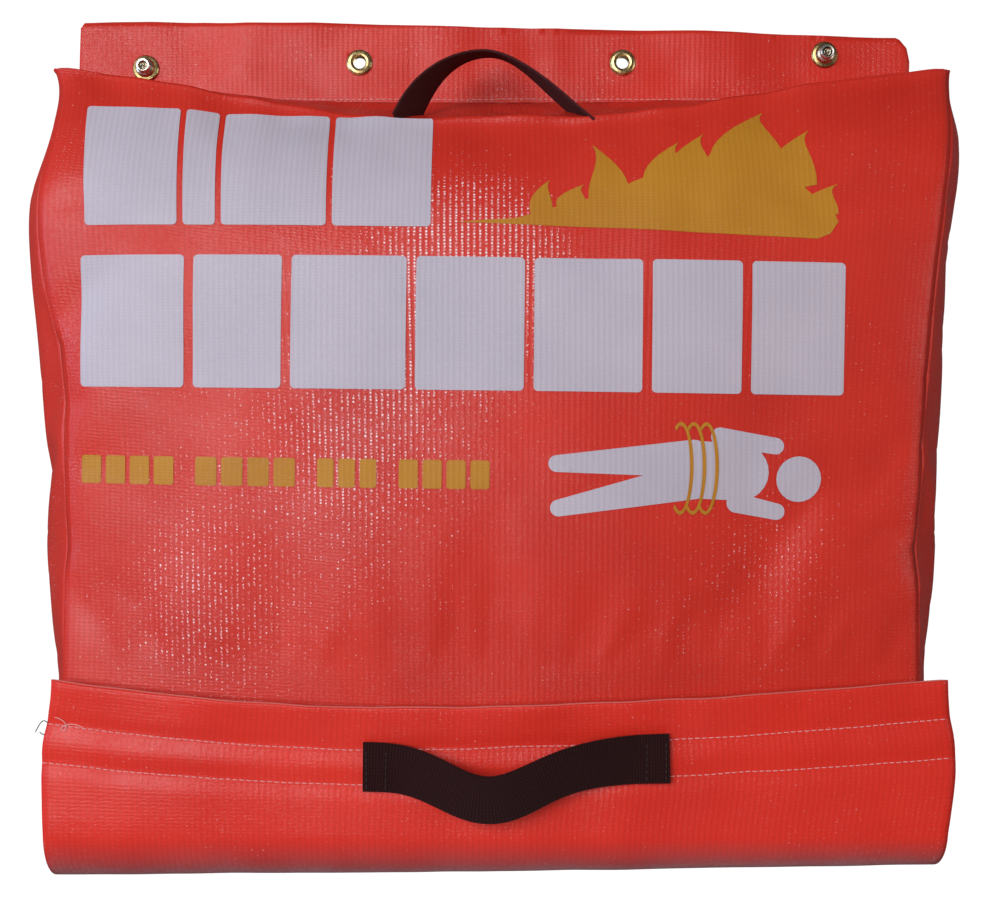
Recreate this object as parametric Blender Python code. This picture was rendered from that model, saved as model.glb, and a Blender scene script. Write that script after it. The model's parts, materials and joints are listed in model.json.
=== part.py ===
"""A hanging fire blanket bag: a coated-cloth pouch on a flange with eyelets and press studs, closed below by
a wrap-around release flap with hook-and-loop tape, holding a folded wool blanket.

Metres. +X is to the right seen from the front, -Y comes out of the wall, +Z is up. The origin is on the
wall, midway between the two hanging eyelets. "Depth" always means the distance out of the wall: y = -depth.
"""

import math

import bmesh
import bpy
from mathutils import Matrix, Vector

MM = 0.001

# Driving dimensions
CLOTH = 1.2 * MM  # coated cloth, with its coating
GAP = 0.4 * MM  # air between layers that lie on each other
HALF_WIDTH = 200 * MM  # front panel, seam to seam, halved
FULL_DEPTH = 88 * MM  # wall to the fullest part of the front panel
BOTTOM_Z = -397 * MM
TAPE_HEIGHT = 25 * MM  # hook-and-loop tape
TAPE_HALF_WIDTH = 196 * MM
WEBBING = 1.5 * MM
WEBBING_WIDTH = 22 * MM

# Hanging flange and its fittings
FLANGE_TOP_Z = (21 * MM, 12.5 * MM)  # left and right: the cloth was cut a little askew
FLANGE_LOW_Z = -24 * MM
FLANGE_X = (-213.5 * MM, 216 * MM)
FLANGE_DEPTH = 4.8 * MM  # front face
EYELET_X = 68 * MM
STUD_PLACES = {"left": (-178.5 * MM, -3 * MM), "right": (172.5 * MM, 4 * MM)}
EYELET_HOLE = 4.2 * MM  # radius punched for the eyelet's barrel
STUD_HOLE = 2.3 * MM  # radius punched for the stud's post
ROUND_STEPS = 32

# Bag shell
BACK_TOP_Z = -12 * MM
BACK_HALF_WIDTH = 198.4 * MM
TOP_SEAM_Z = -20.6 * MM  # where the top panel meets the flange
CREASE_DEPTH = 58 * MM  # front edge of the top panel
CREASE_Z = -43 * MM
SHOULDER = 30 * MM  # how soon the front panel fills out below the crease
CROWN = 14 * MM  # how far the front panel falls back at its side seams
CROWN_START = 60 * MM
CROWN_END = 150 * MM  # height over the bottom where the crown begins to flatten out again
SHELL_TURN = math.radians(55)  # how far the front panel turns under at its lower end

# Release flap
LOOP_FACE = GAP + CLOTH  # outer faces of the flap's layers, measured from the front panel
HOOK_FACE = LOOP_FACE + GAP + CLOTH
FLAP_FACE = HOOK_FACE + GAP + CLOTH
FRONT_CORNER = 25 * MM  # outer radius where the flap turns up in front
REAR_CORNER = 8 * MM  # outer radius where the flap leaves the back panel
CORNER = FRONT_CORNER - FLAP_FACE  # the same corner at the front panel's face
TURN_Z = BOTTOM_Z + FRONT_CORNER
FLAP_HALF_WIDTH = 206 * MM
FLAP_TOP_Z = (-314 * MM, -305 * MM)  # in the middle and at the sides

# Folded blanket
BLANKET_HALF_WIDTH = 188 * MM
BLANKET_BACK = 4.5 * MM
BLANKET_LOW_Z = -394 * MM
BLANKET_TOP_Z = -92 * MM
LAYER_PITCH = 2.75 * MM
LAYER = 2.4 * MM
NESTED_FOLDS = 12
BEND_STEPS = 12
TURN_STEPS = 4

# Webbing handles
PULL_X = (-57 * MM, 79.5 * MM)
PULL_Z = (-341 * MM, -337 * MM)
PULL_DROOP = 10 * MM
PULL_BULGE = 11 * MM
HANDLE_X = (-39 * MM, 47 * MM)
HANDLE_RISE = 39 * MM
HANDLE_LEAN = math.radians(20)
HANDLE_TWIST = math.radians(82)

# Joint axes, all along X, as (depth, height). A corner that straightens keeps its cloth's length when it
# turns about a point this share of its radius inside the sharp corner.
UNROLL = 1 - math.pi / 4
REAR_CREASE = (UNROLL * REAR_CORNER, BOTTOM_Z + UNROLL * REAR_CORNER)
FRONT_CREASE = (FULL_DEPTH + FLAP_FACE - UNROLL * FRONT_CORNER, BOTTOM_Z + UNROLL * FRONT_CORNER)
HANDLE_AXIS = (50 * MM, -39 * MM)
PULL_AXIS = (FULL_DEPTH + FLAP_FACE + GAP + WEBBING, PULL_Z[1] + WEBBING_WIDTH / 2)  # along its upper edge

VINYL = ("coated_cloth_red", (0.78, 0.05, 0.035), 0.45, 0.0)
TAPE = ("hook_and_loop_red", (0.55, 0.03, 0.03), 0.9, 0.0)
WEB = ("webbing_black", (0.025, 0.015, 0.015), 0.85, 0.0)
BRASS = ("brass", (0.62, 0.48, 0.26), 0.3, 1.0)
NICKEL = ("nickel_plate", (0.72, 0.68, 0.6), 0.25, 1.0)
WOOL = ("wool_grey", (0.33, 0.32, 0.31), 0.95, 0.0)


def clear_scene():
    for obj in list(bpy.data.objects):
        bpy.data.objects.remove(obj)


def mix(a, b, share):
    return a + (b - a) * share


def steps(start, end, count):
    """Evenly spaced values from start to end, both included."""
    return [mix(start, end, i / count) for i in range(count + 1)]


def material(finish):
    name, colour, roughness, metallic = finish
    made = bpy.data.materials.get(name) or bpy.data.materials.new(name)
    made.use_nodes = True
    made.diffuse_color = (*colour, 1.0)
    shader = made.node_tree.nodes["Principled BSDF"]
    shader.inputs["Base Color"].default_value = (*colour, 1.0)
    shader.inputs["Roughness"].default_value = roughness
    shader.inputs["Metallic"].default_value = metallic
    return made


def place(name, bm, finish, pivot=None):
    """Makes a node from a bmesh. A moving node's origin is on its joint's axis, given as (depth, height)."""
    mesh = bpy.data.meshes.new(name)
    bm.to_mesh(mesh)
    bm.free()
    mesh.materials.append(material(finish))
    obj = bpy.data.objects.new(name, mesh)
    bpy.context.scene.collection.objects.link(obj)
    if pivot:
        origin = Vector((0, -pivot[0], pivot[1]))
        mesh.transform(Matrix.Translation(-origin))
        obj.location = origin
    return obj


def smooth(obj, angle):
    obj.data.shade_smooth()
    obj.data.set_sharp_from_angle(angle=math.radians(angle))


def sheet(name, point, us, vs, finish, thickness=CLOTH, offset=-1.0, pivot=None):
    """A curved sheet through point(u, v), which gives (x, depth, z). Its outer face is the one whose normal
    lies along u cross v, and the cloth is behind it."""
    bm = bmesh.new()
    grid = []
    for u in us:
        corners = [point(u, v) for v in vs]
        grid.append([bm.verts.new((x, -depth, z)) for x, depth, z in corners])
    for line, following in zip(grid, grid[1:]):
        for j in range(len(vs) - 1):
            bm.faces.new((line[j], following[j], following[j + 1], line[j + 1]))
    obj = place(name, bm, finish, pivot)
    modifier = obj.modifiers.new("Cloth", "SOLIDIFY")
    modifier.thickness = thickness
    modifier.offset = offset
    modifier.use_even_offset = True
    smooth(obj, 40)
    return obj


def turned(name, profile, x, z, finish):
    """A ring turned about a fitting's axis, from a closed profile of (radius, height) in mm."""
    bm = bmesh.new()
    points = []
    for radius, height in profile:
        points.append(bm.verts.new((radius * MM, -(FLANGE_DEPTH + height * MM), 0)))
    for start, end in zip(points, points[1:] + points[:1]):
        bm.edges.new((start, end))
    bmesh.ops.spin(bm, geom=bm.verts[:] + bm.edges[:], cent=(0, 0, 0), axis=(0, 1, 0), dvec=(0, 0, 0),
                   angle=math.tau, steps=ROUND_STEPS)
    bmesh.ops.remove_doubles(bm, verts=bm.verts[:], dist=0.01 * MM)
    bmesh.ops.recalc_face_normals(bm, faces=bm.faces[:])
    obj = place(name, bm, finish)
    obj.location = (x, 0, z)
    smooth(obj, 50)


def punch(obj, x, z, radius):
    """Cuts a round hole through a flat sheet."""
    bm = bmesh.new()
    bmesh.ops.create_cone(
        bm, cap_ends=True, segments=ROUND_STEPS, radius1=radius, radius2=radius, depth=30 * MM)
    cutter = place("hole_cutter", bm, VINYL)
    cutter.location = (x, 0, z)
    cutter.rotation_euler = (math.pi / 2, 0, 0)
    cutter.hide_render = True
    cutter.display_type = "WIRE"
    cut = obj.modifiers.new("Hole", "BOOLEAN")
    cut.operation = "DIFFERENCE"
    cut.object = cutter


def front_depth(x, z):
    """Depth of the front panel's outer face. It fills out below the crease, falls back towards its sides,
    and is nearly flat across again at the bottom."""
    drop = CREASE_Z - z
    filled = CREASE_DEPTH + (FULL_DEPTH - CREASE_DEPTH) * (1 - math.exp(-drop / SHOULDER))
    flattening = max(0.2, min(1, (z - BOTTOM_Z) / CROWN_END))
    crown = CROWN * (1 - math.exp(-drop / CROWN_START)) * flattening
    return filled - crown * (x / HALF_WIDTH) ** 2


def skin(x, s, clearance):
    """A point at a clearance over the front panel's face: s is its height, until the panel starts to turn
    under, and from there on the length round the corner."""
    turn = max(TURN_Z - s, 0) / CORNER
    height = max(s, TURN_Z)
    radius = CORNER + clearance
    depth = front_depth(x, height) - CORNER + radius * math.cos(turn)
    return x, depth, height - radius * math.sin(turn)


def top_height(depth):
    """Height of the top panel, which slopes down from the flange to the crease."""
    return mix(TOP_SEAM_Z, CREASE_Z, (depth - FLANGE_DEPTH) / (CREASE_DEPTH - FLANGE_DEPTH))


def build_flange():
    def flat(u, v):
        top_z = mix(*FLANGE_TOP_Z, u)
        return mix(*FLANGE_X, u), FLANGE_DEPTH, mix(FLANGE_LOW_Z, top_z, v)

    flange = sheet("hanging_flange", flat, (0, 1), (0, 1), VINYL)
    for side, way in (("left", -1), ("right", 1)):
        punch(flange, way * EYELET_X, 0, EYELET_HOLE)
        punch(flange, *STUD_PLACES[side], STUD_HOLE)


def build_eyelet(side, x):
    """A brass eyelet: a rolled rim, a barrel through the flange, and an end curled over its washer."""
    rim = [(3.2, 0.6), (3.7, 1.25), (4.6, 1.5), (5.7, 1.25), (6.6, 0.7), (6.75, 0.35), (3.85, 0.35)]
    curl = [(3.85, -2.25), (4.9, -2.4), (4.9, -2.8), (3.9, -2.9), (3.2, -2.7)]
    turned(f"eyelet_{side}", rim + curl, x, 0, BRASS)
    turned(f"eyelet_washer_{side}", [(4.2, -1.5), (6.75, -1.55), (6.75, -1.9), (4.2, -1.95)], x, 0, BRASS)


def build_stud(side, x, z):
    """The male half of a press stud, and the hollow rivet post that holds it through the flange."""
    outside = [(6.7, 0.35), (6.75, 0.8), (6.2, 1.3), (5.0, 1.6), (4.4, 2.4), (4.2, 3.4), (3.4, 3.9),
               (3.25, 5.0), (3.65, 5.7), (3.6, 6.5), (3.1, 6.9)]
    inside = [(2.5, 6.8), (2.3, 6.2), (2.3, 0.35)]
    turned(f"press_stud_{side}", outside + inside, x, z, NICKEL)
    post = [(1.2, 5.9), (1.5, 6.2), (1.8, 6.0), (1.8, -1.5),
            (5.6, -1.5), (5.8, -1.8), (5.2, -2.2), (1.2, -2.2)]
    turned(f"stud_post_{side}", post, x, z, NICKEL)


def build_shell():
    """Back, top and front panels and the two side gussets."""
    low = TURN_Z - CORNER * SHELL_TURN
    quarter = math.pi * REAR_CORNER / 2

    def back(x, s):
        turn = max(-s, 0) / REAR_CORNER
        z = BOTTOM_Z + REAR_CORNER + max(s, 0) - REAR_CORNER * math.sin(turn)
        return x, REAR_CORNER * (1 - math.cos(turn)), z

    def top(x, depth):
        return x, depth, top_height(depth)

    def front(x, s):
        return skin(x, s, 0)

    back_height = BACK_TOP_Z - BOTTOM_Z - REAR_CORNER
    rows = steps(-quarter / 2 + GAP, 0, 3) + [back_height]
    sheet("back_panel", back, (BACK_HALF_WIDTH, -BACK_HALF_WIDTH), rows,
          VINYL)
    inner = HALF_WIDTH - CLOTH - GAP
    sheet("top_panel", top, (-inner, inner), (CREASE_DEPTH - CLOTH - GAP, FLANGE_DEPTH + CLOTH), VINYL)
    turned_under = steps(low, TURN_Z, 4)[:-1]
    filling_out = [mix(CREASE_Z, -150 * MM, t ** 1.5) for t in steps(1, 0, 12)]
    sheet("front_panel", front, steps(-HALF_WIDTH, HALF_WIDTH, 16),
          turned_under + steps(TURN_Z, -150 * MM, 5)[:-1] + filling_out, VINYL)

    for name, side in (("left_gusset", -1), ("right_gusset", 1)):
        def gusset(across, v, side=side):
            _, front_edge, front_z = skin(HALF_WIDTH, mix(low, CREASE_Z, v), -CLOTH - GAP)
            back_z = mix(BOTTOM_Z + REAR_CORNER, FLANGE_LOW_Z - GAP, v)
            z = mix(back_z, front_z, across)
            swell = 10 * MM + 14 * MM * math.exp(-(((z + 75 * MM) / (60 * MM)) ** 2))
            x = HALF_WIDTH + swell * math.sin(math.pi * across)
            return side * x, mix(CLOTH + GAP, front_edge, across), z

        sheet(name, gusset, steps(0, 1, 8)[::-side], steps(0, 1, 16), VINYL)


def build_flap():
    """The release flap: a panel under the bag and a front part, closed by hook-and-loop tape."""
    across = steps(-FLAP_HALF_WIDTH, FLAP_HALF_WIDTH, 16)
    tape = (-346 * MM, -346 * MM + TAPE_HEIGHT)
    half = math.pi / 4
    taped = steps(-TAPE_HALF_WIDTH, TAPE_HALF_WIDTH, 16)
    sheet("loop_tape", lambda x, s: skin(x, s, LOOP_FACE), taped, tape, TAPE)
    sheet("hook_tape", lambda x, s: skin(x, s, HOOK_FACE), taped, tape, TAPE, pivot=FRONT_CREASE)

    def front(x, v):
        if v < 1:
            return skin(x, TURN_Z - CORNER * half * (1 - v) * 0.97, FLAP_FACE)
        top_z = mix(*FLAP_TOP_Z, (x / FLAP_HALF_WIDTH) ** 2)
        return skin(x, mix(TURN_Z, top_z, v - 1), FLAP_FACE)

    def under(x, v):
        """From the middle of the rear corner, along the bottom, to the middle of the front corner."""
        if v <= 1:
            turn = mix(half, 2 * half, v)
            depth = REAR_CORNER * (1 - math.cos(turn))
            return x, depth, BOTTOM_Z + REAR_CORNER * (1 - math.sin(turn))
        return skin(x, TURN_Z - CORNER * mix(2 * half, half * 1.03, v - 2), FLAP_FACE)

    sheet("flap_front_panel", front, across, steps(0, 1, 4) + steps(1, 2, 4)[1:], VINYL, pivot=FRONT_CREASE)
    sheet("flap_bottom_panel", under, across, steps(0, 1, 3) + steps(2, 3, 4), VINYL, pivot=REAR_CREASE)


def build_pull_strap():
    """The pull strap, sewn to the flap's front at both ends, its slack middle hanging down and outwards."""

    def strap(u, v):
        slack = math.sin(math.pi * u) ** 2
        middle = mix(*PULL_Z, u) - PULL_DROOP * slack
        x, depth, z = skin(mix(*PULL_X, u), middle + v * WEBBING_WIDTH, FLAP_FACE + GAP + WEBBING)
        return x, depth + PULL_BULGE * slack, z

    sheet("pull_strap", strap, steps(0, 1, 20), (-0.5, 0, 0.5), WEB, thickness=WEBBING, pivot=PULL_AXIS)


def build_top_handle():
    """A webbing loop on the top panel: it leans back, and its width is twisted to the wall at the top."""
    middle_x = sum(HANDLE_X) / 2
    half_span = (HANDLE_X[1] - HANDLE_X[0]) / 2

    def arch(u):
        angle = math.pi * (1 - u)
        return Vector((middle_x + half_span * math.cos(angle), 0, 1 * MM + HANDLE_RISE * math.sin(angle)))

    def loop(u, v):
        centre = arch(u)
        tangent = (arch(u + 0.001) - arch(u - 0.001)).normalized()
        share = min(centre.z / (30 * MM), 1)
        twist = HANDLE_TWIST * share * share * (3 - 2 * share)
        along = Vector((tangent.z, 0, -tangent.x)) * math.cos(twist) + Vector((0, 1, 0)) * math.sin(twist)
        flat = centre + along * (v * WEBBING_WIDTH)
        depth = HANDLE_AXIS[0] - flat.z * math.sin(HANDLE_LEAN) - flat.y * math.cos(HANDLE_LEAN)
        height = HANDLE_AXIS[1] + flat.z * math.cos(HANDLE_LEAN) - flat.y * math.sin(HANDLE_LEAN)
        return flat.x, depth, height

    sheet("top_handle", loop, steps(0.003, 0.997, 28), (-0.5, 0, 0.5), WEB, thickness=WEBBING, offset=0.0,
          pivot=HANDLE_AXIS)


def blanket_path():
    """The cross-section of the folded blanket as one line of (depth, z): a fan-folded length bent in half,
    so that its layers nest as U shapes joined by a turn at the top, alternately in front and behind."""
    outer = LAYER_PITCH * (NESTED_FOLDS - 0.5)
    centre_depth = BLANKET_BACK + outer + LAYER_PITCH / 2
    centre_z = BLANKET_LOW_Z + outer + LAYER_PITCH / 2
    turn = LAYER_PITCH / 2
    path = []
    for fold in range(NESTED_FOLDS):
        radius = outer - fold * LAYER_PITCH
        way = 1 if fold % 2 else -1  # the first leg is the one at the back, then the one in front
        path.append((centre_depth + way * radius, BLANKET_TOP_Z))
        for angle in steps(0, math.pi, BEND_STEPS):
            path.append((centre_depth + way * radius * math.cos(angle), centre_z - radius * math.sin(angle)))
        path.append((centre_depth - way * radius, BLANKET_TOP_Z))
        if fold < NESTED_FOLDS - 1:
            for angle in steps(0, math.pi, TURN_STEPS)[1:-1]:
                depth = centre_depth - way * (radius - turn + turn * math.cos(angle))
                path.append((depth, BLANKET_TOP_Z + turn * math.sin(angle)))
    return path


def build_blanket():
    path = blanket_path()
    width = (-BLANKET_HALF_WIDTH, BLANKET_HALF_WIDTH)
    sheet("blanket", lambda x, i: (x, *path[i]), width, range(len(path)), WOOL,
          thickness=LAYER, offset=0.0)


def build():
    clear_scene()
    build_flange()
    for side, way in (("left", -1), ("right", 1)):
        build_eyelet(side, way * EYELET_X)
        build_stud(side, *STUD_PLACES[side])
    build_shell()
    build_flap()
    build_pull_strap()
    build_top_handle()
    build_blanket()


build()
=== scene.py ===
"""Looks for the hanging fire blanket bag: coated cloth with print and stitching, webbing and brass fittings.

Metres, in the frame's own axes: +X to the right seen from the front, -Y out of the wall, +Z up. As in the
CAD, "depth" is the distance out of the wall, so y = -depth.
"""

import bisect
import json
import math

import bmesh
import bpy
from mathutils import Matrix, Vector, noise
from mathutils.geometry import delaunay_2d_cdt


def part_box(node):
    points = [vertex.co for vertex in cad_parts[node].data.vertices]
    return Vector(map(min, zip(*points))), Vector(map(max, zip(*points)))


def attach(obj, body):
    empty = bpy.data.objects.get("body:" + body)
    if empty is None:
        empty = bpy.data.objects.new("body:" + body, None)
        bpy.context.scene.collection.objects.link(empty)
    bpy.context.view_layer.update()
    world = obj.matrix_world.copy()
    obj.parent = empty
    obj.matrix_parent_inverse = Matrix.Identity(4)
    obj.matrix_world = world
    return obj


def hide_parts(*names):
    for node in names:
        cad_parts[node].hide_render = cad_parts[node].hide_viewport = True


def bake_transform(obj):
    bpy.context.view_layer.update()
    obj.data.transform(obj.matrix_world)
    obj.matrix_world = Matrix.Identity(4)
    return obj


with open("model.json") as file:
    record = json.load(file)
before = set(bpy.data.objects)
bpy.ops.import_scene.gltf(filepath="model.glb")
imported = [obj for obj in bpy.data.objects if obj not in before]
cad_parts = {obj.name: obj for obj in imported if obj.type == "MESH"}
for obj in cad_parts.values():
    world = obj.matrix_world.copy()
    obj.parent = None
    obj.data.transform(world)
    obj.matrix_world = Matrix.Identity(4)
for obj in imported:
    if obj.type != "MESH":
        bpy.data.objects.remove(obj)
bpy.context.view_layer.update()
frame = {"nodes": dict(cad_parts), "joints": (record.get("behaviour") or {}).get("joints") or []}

MM = 0.001
CLOTH = 1.0 * MM

# From the frame
FRONT_LOW, FRONT_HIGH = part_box("front_panel")
FLANGE_LOW, FLANGE_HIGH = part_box("hanging_flange")
FLAP_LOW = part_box("flap_front_panel")[0]
UNDER_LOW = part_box("flap_bottom_panel")[0]
STRAP_LOW, STRAP_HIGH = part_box("pull_strap")
BLANKET_LOW, BLANKET_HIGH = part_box("blanket")
AXIS = {joint["name"]: joint for joint in frame["joints"]}

FULL_DEPTH = -FRONT_LOW.y
CREASE_Z = FRONT_HIGH.z
CREASE_DEPTH = 58 * MM  # of the front panel's top edge
FLANGE_DEPTH = -FLANGE_LOW.y
TOP_SEAM_Z = -20.6 * MM  # where the top panel is sewn to the flange
BACK_HALF_WIDTH = 199 * MM
BOTTOM_Z = UNDER_LOW.z
FLAP_FACE = -FLAP_LOW.y - FULL_DEPTH  # the flap's outer face in front of the bag's
FRONT_CORNER = 25 * MM
REAR_CORNER = 8 * MM
FLAP_SPLIT_DEPTH = 45 * MM  # where the flap's two pieces meet, under the bag
CORNER = FRONT_CORNER - FLAP_FACE
TURN_Z = BOTTOM_Z + FRONT_CORNER  # where the front begins to turn under
LOW_S = TURN_Z - CORNER * math.radians(45)  # where the front panel ends, half way round the corner


def mix(a, b, share):
    return a + (b - a) * share


def steps(start, end, count):
    return [mix(start, end, i / count) for i in range(count + 1)]


def clamp(value, low=0.0, high=1.0):
    return max(low, min(high, value))


def smoothstep(value):
    value = clamp(value)
    return value * value * (3 - 2 * value)


def fade(distance, reach):
    """1 at distance 0, falling away over the reach."""
    return math.exp(-((distance / reach) ** 2))


def wave(x, y=0.0, z=0.0):
    """Smooth noise between about -1 and 1, with features about 1 wide."""
    return noise.noise(Vector((x, y, z)))


# ---------------------------------------------------------------- materials


class Nodes:
    """Short hands for one material's node tree."""

    def __init__(self, name):
        self.material = bpy.data.materials.new(name)
        self.material.use_nodes = True
        self.tree = self.material.node_tree
        self.shader = self.tree.nodes["Principled BSDF"]

    def set(self, **values):
        for key, value in values.items():
            self.shader.inputs[key.replace("_", " ")].default_value = value

    def link(self, value, socket):
        if isinstance(value, (int, float)):
            socket.default_value = value
        else:
            self.tree.links.new(value, socket)

    def math(self, operation, *values):
        node = self.tree.nodes.new("ShaderNodeMath")
        node.operation = operation
        for value, socket in zip(values, node.inputs):
            self.link(value, socket)
        return node.outputs[0]

    def plus(self, a, b):
        return self.math("ADD", a, b)

    def times(self, a, b):
        return self.math("MULTIPLY", a, b)

    def position(self, uv=True):
        """Where the surface point is: along the cloth in metres, or in the object's own space."""
        if uv:
            node = self.tree.nodes.new("ShaderNodeUVMap")
            node.uv_map = "Cloth"
            return node.outputs["UV"]
        return self.tree.nodes.new("ShaderNodeTexCoord").outputs["Object"]

    def axes(self, vector):
        node = self.tree.nodes.new("ShaderNodeSeparateXYZ")
        self.link(vector, node.inputs[0])
        return node.outputs

    def noise(self, vector, size, detail=2.0, roughness=0.5):
        node = self.tree.nodes.new("ShaderNodeTexNoise")
        node.inputs["Scale"].default_value = 1 / size
        node.inputs["Detail"].default_value = detail
        node.inputs["Roughness"].default_value = roughness
        self.link(vector, node.inputs["Vector"])
        return node.outputs["Fac"]

    def glow(self, vector, centre, radius):
        """1 at a centre given in the cloth's own metres, falling to 0 at the radius."""
        placed = self.tree.nodes.new("ShaderNodeMapping")
        placed.inputs["Location"].default_value = (-centre[0] / radius, -centre[1] / radius, 0)
        placed.inputs["Scale"].default_value = (1 / radius, 1 / radius, 1)
        self.link(vector, placed.inputs["Vector"])
        node = self.tree.nodes.new("ShaderNodeTexGradient")
        node.gradient_type = "SPHERICAL"
        self.link(placed.outputs[0], node.inputs["Vector"])
        return node.outputs["Fac"]

    def ramp(self, value, *stops):
        node = self.tree.nodes.new("ShaderNodeValToRGB")
        elements = node.color_ramp.elements
        while len(elements) < len(stops):
            elements.new(0.5)
        for element, (place, colour) in zip(elements, stops):
            element.position = place
            grey = isinstance(colour, (int, float))
            element.color = (colour, colour, colour, 1) if grey else (*colour, 1)
        self.link(value, node.inputs[0])
        return node.outputs[0]

    def blend(self, share, a, b, mode="MIX"):
        node = self.tree.nodes.new("ShaderNodeMix")
        node.data_type = "RGBA"
        node.blend_type = mode
        self.link(share, node.inputs[0])
        for value, socket in ((a, node.inputs[6]), (b, node.inputs[7])):
            if isinstance(value, tuple):
                socket.default_value = (*value, 1)
            else:
                self.link(value, socket)
        return node.outputs[2]

    def bump(self, height, distance, strength=1.0, sockets=("Normal",)):
        node = self.tree.nodes.new("ShaderNodeBump")
        node.inputs["Strength"].default_value = strength
        node.inputs["Distance"].default_value = distance
        self.link(height, node.inputs["Height"])
        for socket in sockets:
            self.tree.links.new(node.outputs["Normal"], self.shader.inputs[socket])

    def to(self, value, socket):
        self.tree.links.new(value, self.shader.inputs[socket])


WARP_PITCH = 2.6 * MM  # between the raised ribs that run up the cloth
WEFT_PITCH = 1.5 * MM
# Colour of the painted glints, bright flecks that stand in for the lamps' reflections
GLINT = (1.0, 0.92, 0.92)
# Painted shade: the darker, greyer red of cloth where it turns under, away from the light
PAINTED_SHADE_COLOUR = (0.17, 0.022, 0.028)


def coated_cloth(name, colour, dark, gloss=0.5, glint_share=0.2, zones=(), painted_shade_band=()):
    """Woven cloth under a clear vinyl skin: ribs up the cloth, finer threads across, and painted glints on
    their crowns, bright flecks that stand in for the lamps' reflections, thickest in the zones: (centre,
    radius, strength), in metres. Shade is painted along a band, given in tenths of a metre up the cloth:
    where it starts, is darkest and ends."""
    n = Nodes(name)
    uv = n.position()
    along = n.axes(uv)
    ribs = n.math("SINE", n.times(along[0], math.tau / WARP_PITCH))
    slip = n.times(n.noise(uv, 2.5 * MM, 2.0), 7.0)
    threads = n.math("SINE", n.plus(n.times(along[1], math.tau / WEFT_PITCH), slip))
    weave = n.plus(n.times(ribs, 0.6), n.times(threads, 0.4))
    grain = n.noise(uv, 0.8 * MM, 2.0)
    base = n.blend(n.ramp(n.noise(uv, 60 * MM, 3.0), (0.3, 0.0), (0.7, 1.0)), dark, colour)
    base = n.blend(1.0, base, n.ramp(weave, (0.0, 0.93), (0.5, 1.0)), "MULTIPLY")
    # Painted shade along a band of the cloth
    if painted_shade_band:
        start, darkest, end = painted_shade_band
        painted_shade = n.ramp(n.times(along[1], 10), (start, 0.0), (darkest, 0.85), (end, 0.0))
        base = n.blend(painted_shade, base, PAINTED_SHADE_COLOUR)
    # Painted highlight: glints on the crowns of the weave, more of them where thick is high and in the zones
    thick = n.ramp(n.noise(uv, 40 * MM, 3.0), (0.45, 0.0), (0.7, glint_share))
    for centre, radius, strength in zones:
        thick = n.plus(thick, n.times(n.glow(uv, centre, radius), strength))
    crowns = n.ramp(threads, (0.0, 0.2), (0.5, 1.0))
    crowns = n.times(n.ramp(ribs, (0.2, 0.0), (0.8, 1.0)), crowns)
    thick = n.math("MINIMUM", thick, 1.1)
    chance = n.plus(n.noise(uv, 1.3 * MM, 3.0, 0.7), n.times(thick, 0.2))
    painted_glint = n.times(crowns, n.ramp(chance, (0.64, 0.0), (0.76, 1.0)))
    painted_glint = n.times(painted_glint, n.ramp(thick, (0.0, 0.4), (0.6, 1.0)))
    n.to(n.blend(painted_glint, base, GLINT), "Base Color")
    n.to(n.ramp(n.noise(uv, 2.2 * MM, 2.0), (0.35, 0.66), (0.68, 0.5)), "Roughness")
    n.to(n.ramp(n.noise(uv, 35 * MM, 3.0), (0.3, 0.3 * gloss), (0.7, gloss)), "Coat Weight")
    n.set(Specular_IOR_Level=0.25, Coat_Roughness=0.15)
    n.bump(n.plus(weave, grain), 0.06 * MM, 0.7)
    n.bump(n.plus(weave, n.times(grain, 5.0)), 0.05 * MM, 1.0, ("Coat Normal",))
    return n.material


def webbing_cloth(name, colour, light):
    n = Nodes(name)
    uv = n.position()
    along = n.axes(uv)
    ribs = n.math("SINE", n.times(along[0], math.tau / (1.55 * MM)))
    zigzag = n.times(n.math("ABSOLUTE", ribs), 0.5 * MM)
    picks = n.math("SINE", n.times(n.plus(along[1], zigzag), math.tau / (1.3 * MM)))
    height = n.plus(n.times(ribs, 0.4), picks)
    fuzz = n.noise(uv, 0.5 * MM, 3.0)
    n.to(n.blend(n.ramp(height, (0.1, 0.0), (0.9, 1.0)), colour, light), "Base Color")
    n.set(Roughness=0.85, Sheen_Weight=0.02, Sheen_Roughness=0.5, Specular_IOR_Level=0.12)
    n.bump(n.plus(height, fuzz), 0.12 * MM)
    return n.material


def metal(name, colour, tarnish, roughness=(0.18, 0.44), tip=None):
    """Spotted with tarnish. A tip, given by its two colours, has a plating that has lasted on it."""
    n = Nodes(name)
    place = n.position(uv=False)
    spots = n.noise(place, 1.6 * MM, 4.0, 0.6)
    worn = n.ramp(spots, (0.45, 0.0), (0.75, 1.0))
    shade = n.blend(worn, colour, tarnish)
    if tip:
        beyond = n.math("SUBTRACT", n.times(n.axes(place)[1], -1), FLANGE_DEPTH + 1.8 * MM)
        plated = n.ramp(n.times(beyond, 1 / (1.2 * MM)), (0, 0), (1, 1))
        shade = n.blend(plated, shade, n.blend(worn, *tip))
    n.to(shade, "Base Color")
    n.to(n.ramp(n.noise(place, 0.7 * MM, 3.0), (0.3, roughness[0]), (0.75, roughness[1])), "Roughness")
    n.set(Metallic=1.0)
    n.bump(spots, 0.03 * MM)
    return n.material


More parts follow.
